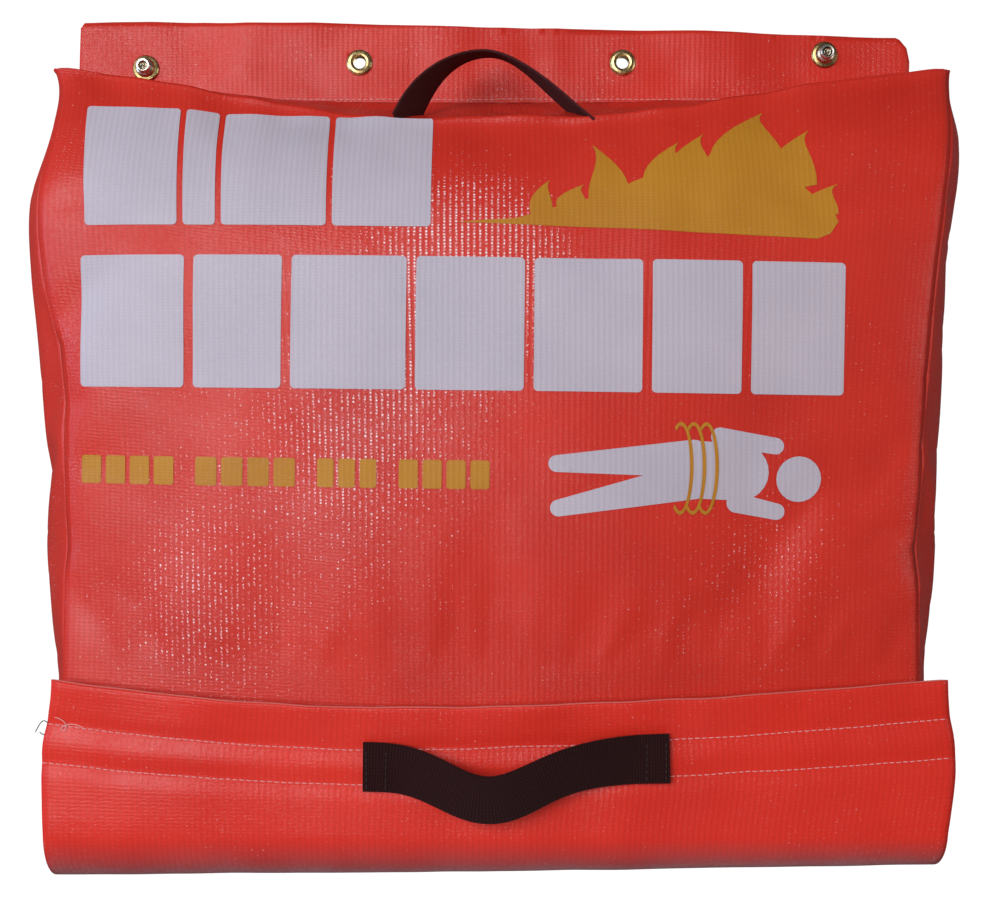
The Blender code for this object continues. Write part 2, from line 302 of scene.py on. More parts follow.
def fibres(name, colour, dark, size, depth, sheen=0.3):
    """Felted or looped fibre, as on wool and on hook-and-loop tape."""
    n = Nodes(name)
    uv = n.position()
    tangle = n.noise(uv, size, 6.0, 0.7)
    n.to(n.blend(n.ramp(tangle, (0.35, 0.0), (0.65, 1.0)), dark, colour), "Base Color")
    n.set(Roughness=0.95, Sheen_Weight=sheen, Sheen_Roughness=0.5, Specular_IOR_Level=0.2)
    n.bump(tangle, depth, 0.9)
    return n.material


def thread(name, colour, dark, sheen=0.2):
    n = Nodes(name)
    place = n.position(uv=False)
    n.to(n.blend(n.noise(place, 0.8 * MM, 2.0), colour, dark), "Base Color")
    n.set(Roughness=0.6, Sheen_Weight=sheen)
    return n.material


RED_COLOURS = (0.70, 0.029, 0.013), (0.61, 0.022, 0.010)
# The red cloth has painted glints scattered over it
RED = coated_cloth("red_coated_cloth", *RED_COLOURS, glint_share=0.45)
# Painted light: the flap's red is a lighter copy of the bag's red, for the light that falls more on the flap
FLAP_LIT_COLOURS = (0.80, 0.029, 0.013), (0.71, 0.022, 0.010)
# The flap has painted shade along its turn under the bag
RED_FLAP = coated_cloth("red_flap_cloth", *FLAP_LIT_COLOURS, painted_shade_band=(0.10, 0.38, 0.60))
RED_UNDER = coated_cloth("red_under_cloth", *FLAP_LIT_COLOURS)
# The front's zones are where painted glints gather, where the lamps' reflections fall
RED_FRONT = coated_cloth("red_front_cloth", *RED_COLOURS, zones=(
    ((0.175, 0.270), 0.07, 1.0),
    ((0.200, 0.272), 0.05, 1.0),
    ((0.161, 0.212), 0.07, 0.7),
    ((0.114, 0.165), 0.10, 0.6),
    ((0.062, 0.100), 0.065, 0.6),
    ((0.320, 0.125), 0.06, 0.4),
))
RED_INSIDE = coated_cloth("red_cloth_edge", (0.70, 0.16, 0.13), (0.62, 0.12, 0.10), 0.0)
PRINT_WHITE = coated_cloth("print_white", (0.58, 0.50, 0.555), (0.51, 0.445, 0.50), 0.15, 0.0)
PRINT_GOLD = coated_cloth("print_gold", (0.57, 0.245, 0.017), (0.49, 0.188, 0.013), 0.15, 0.0)
BLACK_WEBBING = webbing_cloth("black_webbing", (0.017, 0.003, 0.003), (0.038, 0.009, 0.009))
# Painted light: a lighter, redder copy of the black webbing for the top handle, for the light from above and
# from the red cloth
LIT_WEBBING = webbing_cloth("painted_light_webbing", (0.055, 0.011, 0.011), (0.095, 0.021, 0.020))
BRASS = metal("worn_brass", (0.62, 0.45, 0.20), (0.22, 0.13, 0.05))
NICKEL = metal("yellowed_nickel", (0.78, 0.70, 0.56), (0.35, 0.27, 0.15), (0.14, 0.4))
STUD = metal("press_stud_metal", (0.50, 0.36, 0.15), (0.16, 0.10, 0.04), (0.18, 0.42),
             tip=((0.80, 0.76, 0.68), (0.42, 0.34, 0.22)))
WOOL = fibres("wool", (0.30, 0.29, 0.28), (0.17, 0.165, 0.16), 2.5 * MM, 0.5 * MM)
LOOPS = fibres("loop_tape_pile", (0.50, 0.02, 0.02), (0.22, 0.008, 0.008), 0.9 * MM, 0.5 * MM)
HOOKS = fibres("hook_tape_pile", (0.42, 0.02, 0.02), (0.16, 0.006, 0.006), 0.5 * MM, 0.4 * MM, 0.1)
PINK_THREAD = thread("pink_thread", (0.86, 0.42, 0.40), (0.70, 0.24, 0.22))
DARK_THREAD = thread("dark_thread", (0.035, 0.010, 0.010), (0.015, 0.004, 0.004), 0.02)

# ---------------------------------------------------------------- mesh tools


def new_object(name, bm, material, body=None):
    mesh = bpy.data.meshes.new(name)
    bm.to_mesh(mesh)
    bm.free()
    mesh.materials.append(material)
    mesh.shade_smooth()
    obj = bpy.data.objects.new(name, mesh)
    bpy.context.scene.collection.objects.link(obj)
    if body:
        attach(obj, body)
    return obj


def lengths(points):
    """Distance along a row of points, from its start to each of them."""
    total = [0.0]
    for a, b in zip(points, points[1:]):
        total.append(total[-1] + (b - a).length)
    return total


def lattice(point, us, vs):
    """Points of a curved surface, from point(u, v) = (x, depth, z)."""
    return [[Vector((x, -depth, z)) for x, depth, z in (point(u, v) for v in vs)] for u in us]


def thicken(obj, thickness, offset=-1):
    """Gives a sheet its thickness: behind its outer face, or to both sides of it with an offset of 0."""
    solid = obj.modifiers.new("Thickness", "SOLIDIFY")
    solid.thickness = thickness
    solid.offset = offset
    return obj


def cloth_grid(name, places, material, thickness=CLOTH, offset=-1):
    """A sheet through a lattice of places, with a UV map in metres along the cloth. Its outer face has its
    normal along u cross v, and its thickness goes behind."""
    bm = bmesh.new()
    grid = [[bm.verts.new(place) for place in line] for line in places]
    along_u = lengths([line[len(line) // 2] for line in places])
    along_v = lengths(places[len(places) // 2])
    layer = bm.loops.layers.uv.new("Cloth")
    for i in range(len(places) - 1):
        for j in range(len(places[0]) - 1):
            corners = ((i, j), (i + 1, j), (i + 1, j + 1), (i, j + 1))
            face = bm.faces.new([grid[a][b] for a, b in corners])
            for loop, (a, b) in zip(face.loops, corners):
                loop[layer].uv = (along_u[a], along_v[b])
    return thicken(new_object(name, bm, material), thickness, offset)


def settle(places, quads, pins, spare, push, reach, frames=20):
    """Lets a skin of cloth settle by simulation, held by its pins, which run from 0 for free to 1 for fixed.
    It is cut larger by the spare share, pushed outwards from inside, and moves no further than its reach."""
    mesh = bpy.data.meshes.new("settling")
    mesh.from_pydata(places, [], quads)
    obj = bpy.data.objects.new("settling", mesh)
    bpy.context.scene.collection.objects.link(obj)
    group = obj.vertex_groups.new(name="pins")
    for i, weight in enumerate(pins):
        group.add([i], weight, "REPLACE")
    cloth = obj.modifiers.new("Cloth", "CLOTH")
    cloth.collision_settings.use_collision = False
    settings = cloth.settings
    settings.vertex_group_mass = "pins"
    settings.quality = 6
    settings.mass = 0.2
    settings.tension_stiffness = 60
    settings.compression_stiffness = 60
    settings.shear_stiffness = 30
    settings.bending_stiffness = 2
    settings.air_damping = 4
    settings.shrink_min = -spare
    settings.use_pressure = True
    settings.uniform_pressure_force = push
    settings.effector_weights.gravity = 0
    cloth.point_cache.frame_end = frames
    for frame_number in range(1, frames + 1):
        bpy.context.scene.frame_set(frame_number)
    settled = obj.evaluated_get(bpy.context.evaluated_depsgraph_get()).data
    result = []
    for start, vertex in zip(places, settled.vertices):
        move = vertex.co - start
        result.append(start + move * (reach / (reach + move.length)))
    bpy.data.objects.remove(obj)
    bpy.context.scene.frame_set(1)
    return result


def tube(bm, points, radius, sides=6):
    """Adds a round tube with pointed ends along a row of points."""
    rings = []
    side = Vector((0, 0, 1))
    for i, point in enumerate(points):
        ahead = points[min(i + 1, len(points) - 1)] - points[max(i - 1, 0)]
        ahead.normalize()
        side = (side - ahead * side.dot(ahead)).normalized()
        other = ahead.cross(side)
        size = radius * (0.35 if i in (0, len(points) - 1) else 1)
        ring = []
        for k in range(sides):
            angle = math.tau * k / sides
            ring.append(bm.verts.new(point + (side * math.cos(angle) + other * math.sin(angle)) * size))
        rings.append(ring)
    for a, b in zip(rings, rings[1:]):
        for k in range(sides):
            bm.faces.new((a[k], a[(k + 1) % sides], b[(k + 1) % sides], b[k]))
    bm.faces.new(rings[0][::-1])
    bm.faces.new(rings[-1])


OUT = Vector((0, -1, 0))
THREAD_RADIUS = 0.22 * MM


def stitches(name, path, material, body, stitch=2.6 * MM, space=0.5 * MM):
    """A row of sewn stitches along a path of points on cloth that faces out of the wall."""
    bm = bmesh.new()
    reach = lengths(path)

    def at(distance):
        for i in range(len(path) - 1):
            if distance <= reach[i + 1]:
                return path[i].lerp(path[i + 1], (distance - reach[i]) / (reach[i + 1] - reach[i]))
        return path[-1].copy()

    place = 0.0
    count = 0
    while place + stitch < reach[-1]:
        long = stitch * (1 + 0.12 * wave(count * 1.7, 3.1))
        points = []
        for share, lift in ((0, -0.15), (0.18, 0.18), (0.5, 0.3), (0.82, 0.18), (1, -0.15)):
            sway = Vector((0, 0, 0.12 * MM * wave(count * 0.9, share)))
            points.append(at(place + long * share) + OUT * (lift * MM) + sway)
        tube(bm, points, THREAD_RADIUS)
        place += long + space
        count += 1
    return new_object(name, bm, material, body)


# ---------------------------------------------------------------- bag shape

EAR_RISE = 26 * MM  # how much higher the top corners stand than the middle of the crease


def ear(x):
    """0 over the middle of the crease, 1 at the bag's top corners."""
    share = clamp((abs(x) - 45 * MM) / (160 * MM))
    return mix(share, smoothstep(share), 0.25)


def crease(x):
    """Depth and height of the front panel's top edge."""
    pucker = 0.7 * MM * wave(x / (17 * MM), 7.3)
    return CREASE_DEPTH - 9 * MM * ear(x) + pucker, CREASE_Z + EAR_RISE * ear(x) + 0.6 * pucker


def half_width(side, z):
    """Half the width of the front panel, seam to seam: its two top corners are pulled out differently."""
    below = max(-16 * MM - z, 0)
    risen = clamp(1 - below / (290 * MM))
    if side > 0:
        return mix(196.5, 202, risen) * MM + 19.5 * MM * math.exp(-((below / (80 * MM)) ** 1.3))
    swollen = 10 * MM * math.exp(-below / (22 * MM)) + 9 * MM * fade(z + 97 * MM, 48 * MM)
    return mix(196.5, 200, risen) * MM + swollen


def lift(x):
    """How much the bag's lower front corner is raised: it runs a little uphill to the right."""
    return 2.0 * MM + 2.5 * MM * x / (200 * MM)


def crowning(z):
    """Share of the front's crowning across: it is nearly flat across at the bottom."""
    return clamp((z - BOTTOM_Z) / (150 * MM), 0.2, 1)


def front_point(u, v):
    """The front panel, for u from -1 to 1 and v from 0 at the crease to 1 under the flap."""
    edge_depth, edge_z = crease(u * 210 * MM)
    s = mix(edge_z, LOW_S, v)
    z = max(s, TURN_Z)
    drop = edge_z - z
    half = half_width(u, z)
    side = (1 - abs(u)) * half
    x = u * mix((half_width(1, z) + half_width(-1, z)) / 2, half, abs(u))
    # Filling out below the crease, with a dip under the handle, and falling back to the sides
    depth = mix(FULL_DEPTH - 1 * MM, edge_depth, math.exp(-((drop / (36 * MM)) ** 1.5)))
    depth -= 2.0 * MM * fade(x - 20 * MM, 50 * MM) * drop / (6 * MM) * math.exp(1 - drop / (6 * MM))
    depth -= 14 * MM * (1 - math.exp(-drop / (60 * MM))) * crowning(z) * u * u
    # Soft waves, puckers at the crease and at the side seams, and the seams' own tuck
    free = smoothstep((z + 318 * MM) / (40 * MM))
    depth += 1.5 * MM * wave(x / (75 * MM), z / (90 * MM), 2.0) * smoothstep(drop / (60 * MM)) * free
    depth += 1.3 * MM * wave(x / (19 * MM), z / (70 * MM), 5.0) * fade(drop, 26 * MM)
    depth += 1.2 * MM * wave(z / (23 * MM), u, 8.0) * fade(side, 13 * MM) * free
    depth -= 1.2 * MM * fade(side, 3 * MM)
    turn = max(TURN_Z - s, 0) / CORNER
    depth += CORNER * (math.cos(turn) - 1)
    return x, depth, z + (lift(x) - CORNER) * math.sin(turn)


def top_point(u, v):
    """The top panel, for v from 0 at the crease to 1 at the flange."""
    x, depth, z = front_point(u, 0)
    sag = 2.5 * MM * math.sin(math.pi * v) * (1 + wave(u * 6, v * 2, 4.0))
    z = mix(z, TOP_SEAM_Z + 1.5 * MM * ear(x), v) - sag
    return mix(x, u * BACK_HALF_WIDTH, v ** 2), mix(depth, FLANGE_DEPTH + 0.3 * MM, v), z


def swell(side, z):
    """How far a side gusset stands out."""
    out = 19 * smoothstep((-2 * MM - z) / (50 * MM)) - 6 * smoothstep((-220 * MM - z) / (100 * MM))
    if side < 0:
        out = 19 * smoothstep((-12 * MM - z) / (75 * MM)) - 7 * smoothstep((-250 * MM - z) / (70 * MM))
    return MM * out * (1 + 0.12 * wave(z / (45 * MM), side * 3.0, 1.0))


def bowed(side, a, v):
    """A side gusset as it bows out between the back panel and its front seam."""
    front = Vector(front_point(side, v))
    back = Vector((side * BACK_HALF_WIDTH, 1.6 * MM, mix(-19 * MM, BOTTOM_Z + REAR_CORNER, v)))
    place = back.lerp(front, a)
    bow = math.sin(math.pi * a ** 0.85)
    fold = 1.2 * MM * wave(a * 3.2, place.z / (60 * MM), side * 9.0) * bow
    place.x = mix(back.x, front.x, smoothstep(a)) + side * (swell(side, place.z) * bow + fold)
    return place


def gusset_point(side, a, v):
    """A side gusset that meets the top panel, for a from 0 at the back to 1 at the front seam and v from 0
    at the top."""
    gap = Vector(top_point(side, 1 - a)) - bowed(side, a, 0)
    return tuple(bowed(side, a, v) + gap * fade(v, 0.08))


def build_shell():
    """Front, top and side panels, settled as one skin and then parted at their seams."""
    across = steps(-1, 1, 110)
    down = [t ** 1.2 for t in steps(0, 1, 100)][::-1]
    inward = steps(0, 1, 22)
    panels = {
        "front_panel": lattice(front_point, across, down),
        "top_panel": lattice(top_point, across, inward),
        "left_gusset": lattice(lambda a, v: gusset_point(-1, a, v), inward, down),
        "right_gusset": lattice(lambda a, v: gusset_point(1, a, v), inward[::-1], down),
    }
    panels = settled_panels(panels)
    for node, places in panels.items():
        piece = cloth_grid(f"{node}_cloth", places, RED_FRONT if node == "front_panel" else RED)
        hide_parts(node)
        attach(piece, "bag")
    return panels["front_panel"]


def settled_panels(panels):
    """Joins the panels where they meet, lets them settle together, and gives them back one by one."""
    numbers, shared, quads = {}, {}, []

    def number(place):
        key = tuple(round(c / (0.02 * MM)) for c in place)
        return numbers.setdefault(key, len(numbers))

    for places in panels.values():
        grid = [[number(place) for place in line] for line in places]
        for i in {i for line in grid for i in line}:
            shared[i] = shared.get(i, 0) + 1
        for line, following in zip(grid, grid[1:]):
            for j in range(len(line) - 1):
                quads.append((line[j], following[j], following[j + 1], line[j + 1]))
    places = [None] * len(numbers)
    for line in (line for panel in panels.values() for line in panel):
        for place in line:
            places[number(place)] = place
    pins = []
    for i, place in enumerate(places):
        low = smoothstep((-285 * MM - place.z) / (25 * MM))
        wall = 1 if place.y > -6 * MM else 0
        pins.append(max(low, wall, 0.12 if shared[i] > 1 else 0))
    moved = settle(places, quads, pins, 0.008, 0.6, 5 * MM)
    for node, panel in panels.items():
        panels[node] = [[moved[number(place)] for place in line] for line in panel]
    return panels


def build_back():
    def point(x, z):
        depth = 0.3 * MM + 0.25 * MM * (1 + wave(x / (60 * MM), z / (60 * MM), 3.0))
        return x, depth, z

    across = steps(BACK_HALF_WIDTH, -BACK_HALF_WIDTH, 50)
    heights = steps(BOTTOM_Z + REAR_CORNER, -12 * MM, 50)
    back = cloth_grid("back_panel_cloth", lattice(point, across, heights), RED, 0.8 * MM)
    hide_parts("back_panel")
    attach(back, "bag")


# ---------------------------------------------------------------- flat outlines on curved cloth


def fill(loops, spacing, holes=()):
    """Triangles that fill one or more flat outlines, which may overlap, except for round holes, with extra
    points so that they can be bent. A hole is (x, z, radius)."""
    points, outlines = [], []
    for loop in loops:
        start = len(points)
        for a, b in zip(loop, loop[1:] + loop[:1]):
            a, b = Vector(a), Vector(b)
            pieces = max(int((b - a).length / spacing), 1)
            points += [a.lerp(b, i / pieces) for i in range(pieces)]
        outlines.append(list(range(start, len(points))))
    rims = []
    for x, z, radius in holes:
        rim = arc(x, z, radius, 0, 345, 23)
        rims += [(len(points) + i, len(points) + (i + 1) % len(rim)) for i in range(len(rim))]
        points += [Vector(p) for p in rim]
    low = Vector(min(p[k] for p in points) for k in (0, 1))
    high = Vector(max(p[k] for p in points) for k in (0, 1))
    for i in range(int((high.x - low.x) / spacing)):
        for j in range(int((high.y - low.y) / spacing)):
            points.append(low + Vector((i + 0.5, j + 0.5)) * spacing)
    verts, _, faces, *_ = delaunay_2d_cdt(points, rims, outlines, 1, 1e-7)
    kept = []
    for face in faces:
        middle = sum((verts[i] for i in face), Vector((0, 0))) / len(face)
        if all((middle - Vector(hole[:2])).length > hole[2] for hole in holes):
            kept.append(face)
    return verts, kept


class Panel:
    """The front panel's outer face as a place to print on. A point's z is the height it would have if the
    cloth hung straight above and below LEVEL."""

    LEVEL = -150 * MM

    def __init__(self, columns):
        self.columns = columns
        self.heights = []
        for column in columns:
            reach = lengths(column)
            heights = [place.z for place in column]
            near = bisect.bisect(heights, self.LEVEL)
            share = (self.LEVEL - heights[near - 1]) / (heights[near] - heights[near - 1])
            start = mix(reach[near - 1], reach[near], share)
            self.heights.append([self.LEVEL + distance - start for distance in reach])

    def on_column(self, i, z):
        heights = self.heights[i]
        row = int(clamp(bisect.bisect(heights, z), 1, len(heights) - 1))
        share = clamp((z - heights[row - 1]) / (heights[row] - heights[row - 1]))
        return self.columns[i][row - 1].lerp(self.columns[i][row], share)

    def point(self, x, z, over):
        count = len(self.columns)
        i = bisect.bisect(range(count), x, key=lambda column: self.on_column(column, z).x)
        i = int(clamp(i, 1, count - 1))
        left, right = self.on_column(i - 1, z), self.on_column(i, z)
        up = self.on_column(i, z + 1 * MM) - self.on_column(i, z - 1 * MM)
        here = left.lerp(right, clamp((x - left.x) / (right.x - left.x)))
        return here + (right - left).cross(up).normalized() * over


def bent_sheet(verts, faces, places):
    """Flat triangles moved to their places, facing out of the wall, with a UV map of the flat cloth."""
    bm = bmesh.new()
    layer = bm.loops.layers.uv.new("Cloth")
    made = [bm.verts.new(place) for place in places]
    for face in faces:
        new = bm.faces.new([made[i] for i in face])
        for loop, i in zip(new.loops, face):
            loop[layer].uv = (verts[i].x, verts[i].y)
        new.normal_update()
        if new.normal.y > 0:
            new.normal_flip()
    return bm


def lay(name, filled, panel, material, over=0.25 * MM):
    """Lays a flat print, given in x and z, on the front panel."""
    verts, faces = filled
    places = [panel.point(v.x, v.y, over) for v in verts]
    new_object(name, bent_sheet(verts, faces, places), material, "bag")


def arc(x, y, radius, start, end, count=6):
    points = []
    for angle in steps(math.radians(start), math.radians(end), count):
        points.append((x + radius * math.cos(angle), y + radius * math.sin(angle)))
    return points


def rounded_block(x0, x1, z0, z1, radius):
    right = arc(x1 - radius, z1 - radius, radius, 90, 0) + arc(x1 - radius, z0 + radius, radius, 0, -90)
    left = arc(x0 + radius, z0 + radius, radius, -90, -180) + arc(x0 + radius, z1 - radius, radius, 180, 90)
    return right + left


def capsule(x0, z0, x1, z1, r0, r1):
    """An outline round two circles, thicker at one end than at the other."""
    heading = math.degrees(math.atan2(z1 - z0, x1 - x0))
    near = arc(x0, z0, r0, heading + 90, heading + 270, 12)
    return near + arc(x1, z1, r1, heading - 90, heading + 90, 12)


# The print, in mm, before it is turned by its tilt
PRINT_TILT = math.radians(-0.7)
LETTER_ROWS = (
    # left edge, widths of the blocks, space between them, bottom, top, and share narrowed per mm downwards
    (-189.6, (43.5, 15, 48.5, 45.5), 2.8, -99, -36, 0.00045),
    (-188.5, (48.5, 40.5, 52, 49, 49, 41, 43), 4.4, -173.5, -113, 0.0),
)
SLOGAN_WORDS = ((-188, 46, 4), (-134, 48, 4), (-78, 29, 3), (-41, 43, 4))  # left edge, width, blocks
SLOGAN_Z = (-218, -205)
FLAME_FOOT = -100.5
FLAME_MOUND = ((-17, 3.8), (-4, 5), (10, 6), (20, 9), (28, 12), (40, 16), (56, 18), (72, 20), (86, 27),
               (100, 35), (114, 39), (128, 36), (139, 28), (148, 19), (156, 13), (158, 7), (154, 1),
               (148, -1.5), (131, -0.8), (98, 0.2), (60, 2))
FLAME_TONGUES = (
    # middle and width of the foot, its height, place and height of the tip
    (22, 9, 7, 26, 26),
    (36, 12, 10, 42, 24),
    (53, 17, 13, 46, 47),
    (66, 14, 15, 73, 29),
    (79, 17, 18, 86, 48),
    (91, 18, 22, 98, 53),
    (104, 12, 30, 104, 46),
    (118, 30, 28, 127, 67),
    (138, 20, 20, 147, 54),
    (150, 15, 8, 159, 26),
)


def tilted(loop):
    """Turns a print outline a little about the middle of the panel and gives it in metres."""
    return [(MM * (x - (z + 170) * PRINT_TILT), MM * (z + x * PRINT_TILT)) for x, z in loop]


def curve(a, b, c, d, t):
    """A point on the curve from a to d that leaves towards b and arrives from c."""
    weights = ((1 - t) ** 3, 3 * t * (1 - t) ** 2, 3 * t * t * (1 - t), t ** 3)
    return tuple(sum(w * p[k] for w, p in zip(weights, (a, b, c, d))) for k in (0, 1))


def bend(a, b, c, d, count=9):
    return [curve(a, b, c, d, t) for t in steps(0, 1, count)[:-1]]


def tongue(middle, width, foot, tip, height):
    """One tongue of flame: full below, and curled over to its tip."""
    left, right, lean, rise = middle - width / 2, middle + width / 2, tip - middle, height - foot
    outline = bend((left, foot), (left - width * 0.25, foot + rise * 0.35),
                   (mix(left, tip, 0.3) - lean * 0.9, foot + rise * 0.6), (tip, height))
    outline += bend((tip, height), (tip - lean * 0.9, foot + rise * 0.75),
                    (right + width * 0.25, foot + rise * 0.5), (right, foot))
    return outline


def build_print(panel):
    for row, (left, widths, space, low, high, taper) in enumerate(LETTER_ROWS):
        x = left
        middle = (low + high) / 2
        for i, width in enumerate(widths):
            block = rounded_block(x, x + width, low, high, 2)
            block = tilted([(x * (1 + taper * (z - middle)), z) for x, z in block])
            lay(f"print_block_{row}_{i}", fill([block], 4 * MM), panel, PRINT_WHITE)
            x += width + space
    loops = []
    for left, width, count in SLOGAN_WORDS:
        pitch = width / count
        for i in range(count):
            x = left + i * pitch
            loops.append(tilted(rounded_block(x, x + pitch - 2.2, *SLOGAN_Z, 1.2)))
    lay("print_slogan", fill(loops, 4 * MM), panel, PRINT_GOLD)

    shapes = [FLAME_MOUND] + [tongue(*shape) for shape in FLAME_TONGUES]
    flame = [tilted([(x, z + FLAME_FOOT) for x, z in shape]) for shape in shapes]
    lay("print_flame", fill(flame, 4 * MM), panel, PRINT_GOLD)

    figure = (
        capsule(30, -206, 92, -203, 3.8, 8.5),
        capsule(31, -226, 92, -213, 3.8, 8.5),
        capsule(92, -208, 114, -209, 13, 13),
        capsule(104, -193, 130, -197, 4.2, 3.8),
        capsule(112, -223, 131, -227, 4.5, 3.8),
        arc(141, -212, 10.5, 0, 345, 23),
    )
    lay("print_figure", fill([tilted(loop) for loop in figure], 4 * MM), panel, PRINT_WHITE)
    for i in range(3):
        middle = 86 + 5.8 * i
        outer = [(middle + 6.0 * math.sin(t), -207.5 + 21 * math.cos(t)) for t in steps(-0.5, 3.7, 28)]
        inner = [(middle + 4.3 * math.sin(t), -207.5 + 19.3 * math.cos(t)) for t in steps(3.7, -0.5, 28)]
        ring = fill([tilted(outer + inner)], 4 * MM)
        lay(f"print_ring_{i}", ring, panel, PRINT_GOLD, (0.45 + 0.05 * i) * MM)


# ---------------------------------------------------------------- flange


def flange_top(x):
    """The flange was cut a little askew: it stands higher on the left."""
    share = (x - FLANGE_LOW.x) / (FLANGE_HIGH.x - FLANGE_LOW.x)
    return mix(FLANGE_HIGH.z, 12.2 * MM, share ** 2) + 0.6 * MM * wave(x / (50 * MM), 3.0)


def build_flange():
    left, right, low = FLANGE_LOW.x, FLANGE_HIGH.x, FLANGE_LOW.z
    outline = [(left, low), (right, low), (right, 0)]
    outline += [(right - 1.5 * MM, 7 * MM), (right - 5 * MM, 11.5 * MM)]
    outline += [(x, flange_top(x)) for x in steps(right - 7 * MM, left + 3 * MM, 60)]
    outline.append((left + 1 * MM, FLANGE_HIGH.z - 3 * MM))
    holes = []
    for node, radius in (("eyelet_left", 4.0), ("eyelet_right", 4.0), ("press_stud_left", 2.2),
                         ("press_stud_right", 2.2)):
        corner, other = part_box(node)
        holes.append(((corner.x + other.x) / 2, (corner.z + other.z) / 2, radius * MM))
    verts, faces = fill([outline], 4 * MM, holes)
    places = []
    for v in verts:
        near = min((v - Vector(hole[:2])).length for hole in holes)
        free = smoothstep((near - 9 * MM) / (22 * MM)) * smoothstep((v.y - TOP_SEAM_Z) / (15 * MM))
        ripple = 2.6 * wave(v.x / (48 * MM), v.y / (30 * MM), 6.0) + wave(v.x / (15 * MM), v.y / (40 * MM))
        places.append((v.x, -FLANGE_DEPTH - ripple * free * MM, v.y))
    bm = bent_sheet(verts, faces, places)
    flange = new_object("hanging_flange_cloth", bm, RED, "bag")
    thicken(flange, 1.2 * MM)
    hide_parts("hanging_flange")
    path = []
    for x in steps(-190 * MM, 190 * MM, 80):
        path.append(Vector((x, -FLANGE_DEPTH, TOP_SEAM_Z + 1.6 * MM + 0.5 * MM * wave(x / (30 * MM)))))
    stitches("flange_stitches", path, PINK_THREAD, "bag")


# ---------------------------------------------------------------- release flap

# x of its left and right edges: low, where they bulge most, and at the top
FLAP_EDGES = ((-200.5 * MM, -202.3 * MM, -198.0 * MM), (203.5 * MM, 209.5 * MM, 206.0 * MM))
FLAP_LOWEST_X = -50 * MM  # where its top edge and its seams hang lowest
FLAP_TOP = (-303.8 * MM, -303.8 * MM, 11.5 * MM)  # height at the left and at the right, and how far it hangs
FLAP_SEAMS = ((-323.5 * MM, -321.5 * MM, 11.5 * MM), (-341.0 * MM, -339.0 * MM, 9.5 * MM))


def flap_edge(side, z):
    """x of the flap's left or right edge."""
    low, bulge, top = FLAP_EDGES[side]
    rise = smoothstep((z - BOTTOM_Z) / (52 * MM))
    return mix(low, bulge, rise) + (top - bulge) * smoothstep((z + 345 * MM) / (40 * MM))


def hung(x, line):
    """Height at x of a line across the flap, from its heights at both sides and its hang between them."""
    left, right, hang = line
    side = FLAP_EDGES[0 if x < FLAP_LOWEST_X else 1][1]
    share = clamp((x - FLAP_LOWEST_X) / (side - FLAP_LOWEST_X))
    across = clamp((x - FLAP_EDGES[0][1]) / (FLAP_EDGES[1][1] - FLAP_EDGES[0][1]))
    return mix(left, right, across) - hang * (1 - share ** 1.7)


def flap_skin(x, s):
    """A point on the flap's front: s is its height, and below the corner the length round it."""
    z = max(s, TURN_Z)
    depth = FULL_DEPTH + FLAP_FACE - 12.5 * MM * crowning(z) * (x / (200 * MM)) ** 2
    sewn = max(fade(z - hung(x, line), 4.5 * MM) for line in FLAP_SEAMS)
    billow = 1.6 * wave(x / (70 * MM), z / (60 * MM), 11.0) + 0.8 * wave(x / (24 * MM), z / (45 * MM), 12.0)
    lip = fade(z - hung(x, FLAP_TOP), 9 * MM)
    billow += 1.6 * lip * (1 + 0.8 * wave(x / (33 * MM), 13.0))
    depth += MM * (1.4 + billow) * (1 - 0.75 * sewn)
    turn = max(TURN_Z - s, 0) / CORNER
    depth += FRONT_CORNER * (math.cos(turn) - 1)
    return x, depth, z + (lift(x) - FRONT_CORNER) * math.sin(turn)


def flap_front_point(u, v):
    """The flap's outer part, for v from 0 half way along the bottom to 1 where it begins to turn up, 2 at
    the end of the corner and 3 at its top edge."""
    if v <= 2:
        s = TURN_Z - CORNER * math.pi / 2 * (2 - max(v, 1))
        height = BOTTOM_Z + 14 * MM * max(v - 1, 0)
        x = mix(flap_edge(0, height), flap_edge(1, height), u)
        _, depth, z = flap_skin(x, s)
        if v < 1:
            rumple = 0.8 * MM * wave(x / (60 * MM), v * 2, 14.0) * math.sin(math.pi * v)
            return x, mix(FLAP_SPLIT_DEPTH, depth, v), z + abs(rumple)
        return x, depth, z
    guess = mix(flap_edge(0, TURN_Z), flap_edge(1, TURN_Z), u)
    top_z = hung(guess, FLAP_TOP) + 0.8 * MM * wave(guess / (28 * MM), 15.0)
    z = mix(TURN_Z, top_z, v - 2)
    height = mix(BOTTOM_Z + 14 * MM, top_z, v - 2)
    return flap_skin(mix(flap_edge(0, height), flap_edge(1, height), u), z)


def flap_rear_point(u, v):
    """The flap's inner part, for v from 0 where it leaves the back panel to 1 at the end of the rear corner,
    and 2 where it goes on as the outer part."""
    turn = min(v, 1) * math.pi / 2
    depth = REAR_CORNER * (1 - math.cos(turn)) + max(v - 1, 0) * (FLAP_SPLIT_DEPTH - REAR_CORNER)
    wide = smoothstep(v)
    x = mix(mix(-198 * MM, FLAP_EDGES[0][0], wide), mix(198 * MM, FLAP_EDGES[1][0], wide), u)
    return x, depth, BOTTOM_Z + REAR_CORNER * (1 - math.sin(turn)) + lift(x) * smoothstep(v - 1)


